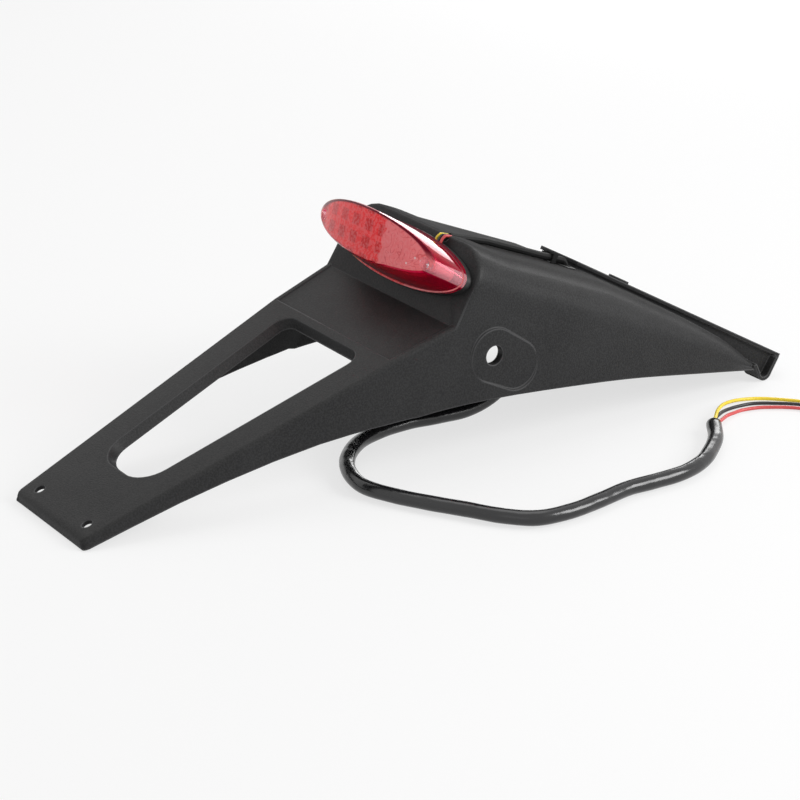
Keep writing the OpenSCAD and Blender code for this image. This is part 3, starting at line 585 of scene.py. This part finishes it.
    def _line_mask(self, tree: Tree, along: Socket) -> Socket:
        """Finds the wavy flow lines in the pale half of the front.

        Args:
            tree: the material's tree.
            along: place along the front.

        Returns:
            1 on a line and 0 elsewhere.
        """
        where = tree.add("ShaderNodeTexCoord").outputs["Object"]
        flow = tree.add("ShaderNodeTexNoise", Vector=where, Scale=self.line_scale, Detail=1.0, Distortion=0.8)
        bands = tree.calc("PINGPONG", tree.calc("MULTIPLY", flow.outputs[0], self.line_count), 0.5)
        return tree.calc("MULTIPLY", tree.step(bands, *self.line_width), tree.step(along, *self.line_from))

    def _diode_mask(self, tree: Tree, along: Socket, high: Socket) -> Socket:
        """Finds the squares of the diodes that show through the front.

        The two shifts set where the grid starts, and keep its numbers above 0.

        Args:
            tree: the material's tree.
            along: place along the front.
            high: place up the front.

        Returns:
            1 in a square and 0 elsewhere.
        """
        column = tree.calc("PINGPONG", tree.calc("ADD", along, self.column_shift), self.column_half)
        row = tree.calc("PINGPONG", tree.calc("ADD", high, self.row_shift), self.row_half)
        square = tree.calc("MULTIPLY", tree.step(column, *self.column_gap), tree.step(row, *self.row_gap))
        return tree.calc("MULTIPLY", square, tree.step(along, *self.last_column))

    def _pin_glint_mask(self, tree: Tree, along: Socket, high: Socket) -> Socket:
        """Finds the two small moulding pins beside the right screw, where near-white highlights are painted.

        Args:
            tree: the material's tree.
            along: place along the front.
            high: place up the front.

        Returns:
            1 on a pin and 0 elsewhere.
        """
        masks = []
        for pin in self.pins:
            across = tree.calc("MULTIPLY", tree.calc("SUBTRACT", along, pin[0]), self.half[0])
            up = tree.calc("MULTIPLY", tree.calc("SUBTRACT", high, pin[1]), self.half[1])
            far = tree.calc("SQRT", self._ring(tree, across, up))
            masks.append(tree.step(far, *self.pin_rim))
        return tree.calc("MAXIMUM", *masks)

    def _front_colour(self, tree: Tree, pebble: bpy.types.Node) -> Socket:
        """Lays diode squares, flow lines, painted glints and the edges' painted shade and glow over the front's red.

        Args:
            tree: the material's tree.
            pebble: the grain group placed in it.

        Returns:
            The front's colour.
        """
        along, high = self._place(tree)
        zone = tree.calc("MULTIPLY_ADD", pebble.outputs["Haze"], self.pale_waver, along)
        body = tree.blend(tree.step(zone, *self.pale_band), self.front, self.pale)
        layers = (
            (self._diode_mask(tree, along, high), self.diode_strength, shade(self.front, self.diode_shade)),
            # pale dots on the pebbles, painted as glints
            (tree.step(pebble.outputs["Mottle"], *self.pebble_glint_band), self.pebble_glint_strength, self.pebble_glint_colour),
            (self._line_mask(tree, along), self.line_strength, shade(self.front, self.line_shade)),
            # painted highlights: near-white dots on the two moulding pins
            (self._pin_glint_mask(tree, along, high), 1.0, self.pin_glint_colour),
            # painted shade along the front's upper edge
            (self._edge_shade_mask(tree, along, high), 1.0, self.edge_shade_colour),
            # painted amber glow in the rim at the front's left end
            (self._rim_glow_mask(tree, along, high), 1.0, self.rim_glow_colour),
        )
        for mask, strength, colour in layers:
            body = tree.blend(tree.calc("MULTIPLY", mask, strength), body, colour)
        return body

    def _finish(self, tree: Tree, shader: bpy.types.Node, clear: float, rough: float) -> None:
        """Makes a shader clear acrylic. Shadow rays pass straight through, so that the inside is lit.

        Args:
            tree: the material's tree.
            shader: its Principled shader.
            clear: how much light goes through without scatter.
            rough: how rough the surface is.
        """
        shader.inputs["Transmission Weight"].default_value = clear
        shader.inputs["Roughness"].default_value = rough
        shader.inputs["IOR"].default_value = self.ior
        shader.inputs["Specular Tint"].default_value = self.shine
        rays = tree.add("ShaderNodeLightPath")
        passing = tree.calc("MAXIMUM", rays.outputs["Is Shadow Ray"], rays.outputs["Is Diffuse Ray"])
        tree.mixed(passing, shader, tree.add("ShaderNodeBsdfTransparent", Color=self.inner_tint))

    def material(self) -> bpy.types.Material:
        """Builds the front's finish.

        Returns:
            The material, made on first use.
        """
        found = bpy.data.materials.get(self.name)
        if found:
            return found
        made, tree, shader = new_material(self.name)
        pebble = Effects.place_grain(tree, self.pebble_scale, self.haze_scale)
        tree.feed(shader, "Base Color", self._front_colour(tree, pebble))
        bump = tree.add("ShaderNodeBump", Height=pebble.outputs["Height"], Distance=self.pebble_depth)
        tree.feed(bump, "Strength", self.pebble_strength)
        tree.feed(shader, "Normal", bump.outputs[0])
        self._finish(tree, shader, self.front_clear, self.front_rough)
        return made

    def clear_skirt(self, lens: bpy.types.Object) -> None:
        """Gives the faces that look sideways the skirt's finish.

        Args:
            lens: the lens, already dressed with the front's finish.
        """
        made, tree, shader = new_material(f"{self.name} skirt")
        tree.feed(shader, "Base Color", tree.blend(self._pillar_mask(tree), self.skirt, self.pillar_colour))
        self._finish(tree, shader, self.skirt_clear, self.skirt_rough)
        lens.data.materials.append(made)
        for face in lens.data.polygons:
            if abs(face.normal.dot(Vector(self.axis))) < self.front_facing:
                face.material_index = 1


@dataclass(frozen=True)
class LampPlate:
    """Bright plate behind the lens, red among the diodes and pale beside them."""

    name: str
    red: Colour
    pale: Colour
    edge: tuple[float, float] = (0.017, 0.0182)
    waver: float = 0.004
    rough: float = 0.2
    grain_scale: float = 500.0
    haze_scale: float = 160.0
    grain_depth: float = 0.0002

    def material(self) -> bpy.types.Material:
        """Builds the finish.

        Returns:
            The material, made on first use.
        """
        found = bpy.data.materials.get(self.name)
        if found:
            return found
        made, tree, shader = new_material(self.name)
        grain = Effects.place_grain(tree, self.grain_scale, self.haze_scale)
        where = tree.add("ShaderNodeTexCoord").outputs["Object"]
        across = tree.add("ShaderNodeSeparateXYZ", Vector=where).outputs[0]
        wave = tree.calc("MULTIPLY_ADD", grain.outputs["Haze"], self.waver, across)
        zone = tree.step(wave, *self.edge, soft=False)
        tree.feed(shader, "Base Color", tree.blend(zone, self.red, self.pale))
        shader.inputs["Roughness"].default_value = self.rough
        bump = tree.add("ShaderNodeBump", Height=grain.outputs["Height"], Distance=self.grain_depth)
        tree.feed(shader, "Normal", bump.outputs[0])
        return made


Finish = Plastic | Metal | RedLens | LampPlate

BODY = Plastic(
    "Charcoal moulding", (0.0195, 0.0195, 0.02), (0.0255, 0.0255, 0.026), (0.36, 0.46), grain_scale=1100.0,
    grain_depth=0.00008, soft_edge=0.0014, edge_light=1.0, speckle=0.25, specular=0.12, dull_when_grazed=True,
)
LAMP_BLACK = Plastic("Lamp black", (0.012, 0.012, 0.012), (0.02, 0.02, 0.02), (0.35, 0.5))
RUBBER = Plastic("Gasket rubber", (0.014, 0.014, 0.014), (0.022, 0.022, 0.022), (0.6, 0.75))
TAPE = Plastic(
    "Loom tape", (0.01, 0.01, 0.01), (0.017, 0.017, 0.017), (0.38, 0.5), crumple=0.0004, specular=0.12,
    dull_when_grazed=True,
)
SLEEVE = Plastic(
    "Sleeve vinyl", (0.005, 0.005, 0.006), (0.009, 0.009, 0.01), (0.18, 0.27), grain_scale=500.0,
    grain_depth=0.00002, dust=0.01, crumple=0.001, coat=0.05, specular=0.6,
)
TIE = Plastic(
    "Tie nylon", (0.008, 0.008, 0.008), (0.014, 0.014, 0.014), (0.35, 0.45), specular=0.12, dull_when_grazed=True
)
BOARD = Plastic("Board mask", (0.3, 0.06, 0.05), (0.36, 0.08, 0.07), (0.3, 0.4))
DIODE = Plastic("Diode housing", (0.2, 0.03, 0.03), (0.28, 0.05, 0.05), (0.1, 0.2))
BRIGHT = LampPlate("Bright plate", (0.8, 0.16, 0.15), (0.95, 0.62, 0.62))
ZINC = Metal("Zinc plating", (0.78, 0.78, 0.8), (0.9, 0.9, 0.92), (0.16, 0.3))
BRASS = Metal("Tinned brass", (0.7, 0.52, 0.24), (0.82, 0.66, 0.36))
LENS = RedLens("Red acrylic", (1.0, 0.05, 0.05), (0.55, 0.0, 0.035))


def wire_finish(colour: Insulation) -> Plastic:
    """Makes the finish of a wire.

    Args:
        colour: the wire's insulation.

    Returns:
        The finish, with a haze that is a little paler than the colour.
    """
    pale = tuple(min(1.0, part * PALER + LIFT) for part in colour.value)
    return Plastic(
        f"Insulation {colour.name.lower()}", colour.value, pale, (0.3, 0.42), grain_scale=700.0, grain_depth=0.00003,
        dust=0.02,
    )


def dress(node: bpy.types.Object, finish: Finish, smooth: float = 35.0) -> None:
    """Gives a solid of the frame its finish and smooth shading.

    Args:
        node: the frame's own object.
        finish: what it is made of.
        smooth: edges sharper than this angle in degrees stay sharp.
    """
    material = finish.material()
    if not node.material_slots:
        node.data.materials.append(material)
    for place in node.material_slots:
        place.material = material
    for face in node.data.polygons:
        face.use_smooth = True
    weld = node.modifiers.new("Joined", "WELD")
    weld.merge_threshold = 0.01 * MM
    split = node.modifiers.new("Sharp edges", "EDGE_SPLIT")
    split.split_angle = math.radians(smooth)


def place_object(name: str, data: bpy.types.ID) -> bpy.types.Object:
    """Puts a new object into the scene.

    Args:
        name: the object's name.
        data: its mesh, camera or lamp.

    Returns:
        The object.
    """
    made = bpy.data.objects.new(name, data)
    bpy.context.scene.collection.objects.link(made)
    return made


@dataclass
class Route:
    """Centre line of a cord through chosen points in millimetres."""

    points: list[Point]
    step: float = 2.5

    def line(self) -> np.ndarray:
        """Runs a smooth curve through the points.

        Returns:
            Points in metres, a step apart or less.
        """
        given = np.array(self.points, float)
        ends = np.vstack([2 * given[0] - given[1], given, 2 * given[-1] - given[-2]])
        out: list[np.ndarray] = []
        for k in range(len(given) - 1):
            a, b, c, d = ends[k : k + 4]
            count = max(2, int(np.linalg.norm(c - b) / self.step))
            for t in np.arange(count) / count:
                curve = 2 * b + (c - a) * t + (2 * a - 5 * b + 4 * c - d) * t**2 + (3 * b - a - 3 * c + d) * t**3
                out.append(0.5 * curve)
        out.append(given[-1])
        return np.array(out) * MM

    def length(self) -> float:
        """Returns the length of the line in metres."""
        return float(np.linalg.norm(np.diff(self.line(), axis=0), axis=1).sum())


@dataclass
class Tube:
    """A closed tube along a line, in metres.

    swell is how much its size comes and goes, as a share. Each of the waves has a share, a pace and a start.
    A start that leans less than steep from upright has no level side of its own.
    """

    name: str
    line: np.ndarray
    width: float
    height: float
    sides: int
    swell: float = 0.0
    waves: tuple[Point, ...] = ((0.6, 0.9, 0.0), (0.4, 0.37, 1.3))
    steep: float = 0.2

    def _rings(self) -> list[Point]:
        """Sets a ring of points round each point of the line.

        Returns:
            The tube's vertices, ring by ring. The width is level with the ground at the first ring.
        """
        ways = np.gradient(self.line, axis=0)
        ways /= np.linalg.norm(ways, axis=1)[:, None]
        side = np.cross(ways[0], (0.0, 0.0, 1.0))
        lean = np.linalg.norm(side)
        side = side / lean if lean > self.steep else np.array((1.0, 0.0, 0.0))
        vertices = []
        for k, (centre, way) in enumerate(zip(self.line, ways)):
            side = side - way * side.dot(way)
            side /= np.linalg.norm(side)
            over = np.cross(side, way)
            grow = 1 + self.swell * sum(share * math.sin(k * pace + start) for share, pace, start in self.waves)
            for turn in (2 * math.pi * j / self.sides for j in range(self.sides)):
                across = self.width / 2 * math.cos(turn) * side + self.height / 2 * math.sin(turn) * over
                vertices.append(tuple(centre + grow * across))
        return vertices

    def _faces(self) -> list[tuple[int, ...]]:
        """Joins the rings and closes both ends.

        Returns:
            The faces by the numbers of their vertices.
        """
        rings, sides = len(self.line), self.sides
        faces: list[tuple[int, ...]] = []
        for k in range(rings - 1):
            near, far = k * sides, (k + 1) * sides
            for j in range(sides):
                after = (j + 1) % sides
                faces.append((near + j, near + after, far + after, far + j))
        faces.append(tuple(range(sides - 1, -1, -1)))
        faces.append(tuple((rings - 1) * sides + j for j in range(sides)))
        return faces

    def build(self) -> bpy.types.Object:
        """Makes the mesh, smooth along its sides.

        Returns:
            The tube as a mesh object.
        """
        mesh = bpy.data.meshes.new(self.name)
        faces = self._faces()
        mesh.from_pydata(self._rings(), [], faces)
        mesh.polygons.foreach_set("use_smooth", [len(face) == 4 for face in faces])
        return place_object(self.name, mesh)


@dataclass
class Moulding:
    """The one-piece bracket."""

    node: str = "tail_moulding"
    sharp: float = 30.0

    def build(self, nodes: dict[str, bpy.types.Object]) -> None:
        """Dresses the moulding."""
        dress(nodes[self.node], BODY, self.sharp)
        LOG.info("moulding dressed")


@dataclass
class Lamp:
    """The oval lamp and its fixings."""

    lens: str = "lamp_lens"
    finishes: dict[str, Finish] = field(
        default_factory=lambda: {
            "lamp_gasket": RUBBER,
            "lamp_base": LAMP_BLACK,
            "lamp_reflector": BRIGHT,
            "led_board": BOARD,
            "lamp_diodes": DIODE,
            "lamp_lens": LENS,
            "lens_screw_left": ZINC,
            "lens_screw_right": ZINC,
            "lamp_bolt_left": ZINC,
            "lamp_bolt_right": ZINC,
            "lamp_washer_left": ZINC,
            "lamp_washer_right": ZINC,
        }
    )

    def build(self, nodes: dict[str, bpy.types.Object]) -> None:
        """Dresses the lamp's solids.

        Args:
            nodes: the frame's solids by name.
        """
        for name, finish in self.finishes.items():
            dress(nodes[name], finish)
        LENS.clear_skirt(nodes[self.lens])
        LOG.info("lamp dressed, %d pieces", len(self.finishes))


@dataclass
class DeckWiring:
    """Leads, taped loom, tie and grommet that the deck holds."""

    finishes: dict[str, Finish] = field(
        default_factory=lambda: {"upper_loom": TAPE, "deck_grommet": RUBBER, "loom_tie": TIE}
    )

    def build(self, nodes: dict[str, bpy.types.Object]) -> None:
        """Dresses the deck's wiring.

        Args:
            nodes: the frame's solids by name.
        """
        for name, finish in self.finishes.items():
            dress(nodes[name], finish)
        for colour in Insulation:
            dress(nodes[f"lead_{colour.name.lower()}"], wire_finish(colour))
        LOG.info("deck wiring dressed")


@dataclass
class LooseWiring:
    """The sleeve and its three wires on the ground. All sizes and points are in millimetres."""

    sleeve_d: float = 8.4
    sleeve_flat: float = 0.94
    sleeve_sides: int = 20
    sleeve_swell: float = 0.015
    wire_d: float = 2.0
    wire_sides: int = 14
    wire_step: float = 1.5
    sleeve: list[Point] = field(
        default_factory=lambda: [
            (17, 88, 75), (17, 83, 66), (16, 77, 54), (15, 72, 42), (13, 67, 30), (11, 59, 18), (9, 47, 9),
            (8, 33, 5), (6, 16, 4.4), (3, -2, 4.3), (4, -20, 4.3), (10, -39, 4.3), (23, -55, 4.3), (39, -65, 4.3),
            (58, -69, 4.3), (76, -63, 4.3), (94, -53, 4.3), (111, -42, 4.3), (127, -32, 4.3), (139, -19, 4.3),
            (142, 0, 4.3), (140, 20, 4.3), (137, 40, 4.3), (138, 58, 4.3), (138, 76, 4.3), (133, 93, 4.3),
            (124, 107, 4.3), (113, 120, 4.3), (99, 131, 4.3),
        ]
    )
    wires: dict[Insulation, list[Point]] = field(
        default_factory=lambda: {
            Insulation.YELLOW: [
                (98.8, 131.2, 5.7), (93, 137.5, 5.5), (87, 144, 5), (82, 151, 4.4), (79, 157, 3.6), (77, 164, 2.6),
                (77, 170, 2), (78, 176, 1.4), (80, 181, 1.1), (84, 186, 1.1), (90, 192, 1.1), (96, 197, 1.1),
                (103, 201.5, 1.1), (110, 207, 1.1), (117, 214, 1.1),
            ],
            Insulation.BLACK: [
                (98, 130.2, 3.3), (93, 136, 3.1), (88.5, 143, 2.8), (84.5, 150.5, 2.2), (82.5, 158, 1.6),
                (82, 165, 1.2), (83, 172, 1.1), (86, 178, 1.1), (90, 183.5, 1.1), (94, 188.5, 1.1),
                (99, 193.5, 1.1), (106, 198, 1.1), (115, 203, 1.1), (125, 208.5, 1.1),
            ],
            Insulation.RED: [
                (99.4, 132.2, 3.3), (96, 137, 2.8), (92.5, 143, 2.2), (89.5, 149, 1.8), (88, 155, 1.4),
                (87, 161, 1.1), (88, 167, 1.1), (90, 173, 1.1), (93, 178, 1.1), (96.5, 183, 1.1),
                (100.5, 187.5, 1.1), (105, 191.5, 1.1), (111, 195.5, 1.1), (119, 199, 1.1),
            ],
        }
    )

    def build(self, nodes: dict[str, bpy.types.Object]) -> None:
        """Args:
            nodes: the frame's solids by name.
        """
        route = Route(self.sleeve)
        line = route.line()
        width, height = self.sleeve_d * MM, self.sleeve_d * self.sleeve_flat * MM
        cord = Tube("sleeve_vinyl", line, width, height, self.sleeve_sides, self.sleeve_swell).build()
        cord.data.materials.append(SLEEVE.material())
        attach(cord, "root")
        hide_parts("loom_sleeve")
        route.length()
        LOG.info("sleeve: %.0f mm", route.length() / MM)
        for colour, points in self.wires.items():
            self._wire(nodes, colour, points)

    def _wire(self, nodes: dict[str, bpy.types.Object], colour: Insulation, points: list[Point]) -> None:
        """Builds one wire with its terminal.

        Args:
            nodes: the frame's solids by name.
            colour: the wire's insulation.
            points: its route in millimetres.
        """
        label = colour.name.lower()
        route = Route(points, self.wire_step)
        line = route.line()
        wire = Tube(f"wire_{label}_skin", line, self.wire_d * MM, self.wire_d * MM, self.wire_sides).build()
        wire.data.materials.append(wire_finish(colour).material())
        terminal = nodes[f"bullet_{label}"]
        dress(terminal, BRASS)
        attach(wire, "root")
        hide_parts(f"wire_{label}")
        route.length()
        LOG.info("%s wire: %.0f mm", label, route.length() / MM)


@dataclass(frozen=True)
class Softbox:
    """A square lamp that faces the object, with its size in metres and its power in watts."""

    name: str
    place: Point
    size: float
    power: float

    def hang(self) -> None:
        """Hangs the lamp."""
        data = bpy.data.lights.new(self.name, "AREA")
        data.size = self.size
        data.energy = self.power
        lamp = place_object(self.name, data)
        lamp.location = self.place
        lamp.rotation_euler = (-Vector(self.place)).to_track_quat("-Z", "Y").to_euler()


@dataclass
class Studio:
    """Camera, floor, world and lamps.

    Angles are in degrees, lengths in metres, the sensor in millimetres, and the focal length in pixels of a picture
    that is 800 wide.
    """

    azimuth: float = 55.34
    elevation: float = 22.56
    distance: float = 1.382
    focal: float = 2569.0
    picture: float = 800.0
    sensor: float = 36.0
    nearest: float = 0.05
    target: Point = (0.0, -0.0061, 0.0171)
    floor_half: float = 4.0
    floor_drop: float = 0.0005
    floor_colour: Colour = (0.9, 0.9, 0.9)
    floor_rough: float = 0.9
    floor_glow: float = 0.7
    world_light: float = 0.5
    world_shown: float = 1.0
    softboxes: tuple[Softbox, ...] = (
        Softbox("Key softbox", (1.05, 0.85, 0.8), 0.75, 15.5),
        Softbox("Top softbox", (-0.35, 0.2, 1.3), 0.9, 3.0),
        Softbox("Front fill", (1.0, -1.1, 0.7), 0.8, 0.5),
        Softbox("Back strip", (-0.9, 1.17, 0.3), 0.7, 6.0),
    )

    def build(self) -> None:
        """Sets up the picture."""
        self._camera()
        self._floor()
        self._world()
        for softbox in self.softboxes:
            softbox.hang()
        LOG.info("studio ready")

    def _camera(self) -> None:
        """Places the camera at the photograph's view."""
        data = bpy.data.cameras.new("Camera")
        data.sensor_width = self.sensor
        data.lens = self.focal / self.picture * self.sensor
        data.clip_start = self.nearest
        turn, lift = math.radians(self.azimuth), math.radians(self.elevation)
        away = Vector((math.sin(turn) * math.cos(lift), -math.cos(turn) * math.cos(lift), math.sin(lift)))
        camera = place_object("Camera", data)
        camera.location = Vector(self.target) + away * self.distance
        camera.rotation_euler = (-away).to_track_quat("-Z", "Y").to_euler()
        bpy.context.scene.camera = camera

    def _floor(self) -> None:
        """Lays the pale floor, just under the object."""
        mesh = bpy.data.meshes.new("Floor")
        half = self.floor_half
        corners = [(-half, -half, 0), (half, -half, 0), (half, half, 0), (-half, half, 0)]
        mesh.from_pydata(corners, [], [(0, 1, 2, 3)])
        floor = place_object("Floor", mesh)
        floor.location.z = -self.floor_drop
        made, tree, shader = new_material("Pale floor")
        tree.feed(shader, "Base Color", self.floor_colour)
        shader.inputs["Roughness"].default_value = self.floor_rough
        shader.inputs["Specular IOR Level"].default_value = 0.0
        glow = tree.add("ShaderNodeEmission", Color=WHITE, Strength=1.0)
        shown = tree.showing(tree.add("ShaderNodeLightPath"))
        tree.mixed(tree.calc("MULTIPLY", shown, self.floor_glow), shader, glow)
        mesh.materials.append(made)

    def _world(self) -> None:
        """Sets the white backdrop and the soft light that comes from all round."""
        world = bpy.data.worlds.new("Studio")
        bpy.context.scene.world = world
        world.use_nodes = True
        world.node_tree.nodes.clear()
        tree = Tree(world.node_tree)
        shown = tree.showing(tree.add("ShaderNodeLightPath"))
        shine = tree.calc("MULTIPLY_ADD", shown, self.world_shown - self.world_light, self.world_light)
        back = tree.add("ShaderNodeBackground", Color=WHITE, Strength=shine)
        tree.feed(tree.add("ShaderNodeOutputWorld"), 0, back.outputs[0])


def clear_scene() -> None:
    """Empties Blender's first scene."""
    for item in list(bpy.data.objects):
        bpy.data.objects.remove(item, do_unlink=True)


def main() -> None:
    """Builds the picture, piece by piece."""
    logging.basicConfig(level=logging.INFO, format="%(name)s: %(message)s")
    clear_scene()
    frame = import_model()
    bpy.context.scene.view_settings.view_transform = "Standard"
    nodes = frame["nodes"]
    Studio().build()
    LooseWiring().build(nodes)
    DeckWiring().build(nodes)
    Moulding().build(nodes)
    Lamp().build(nodes)


if __name__ == "__main__":
    main()
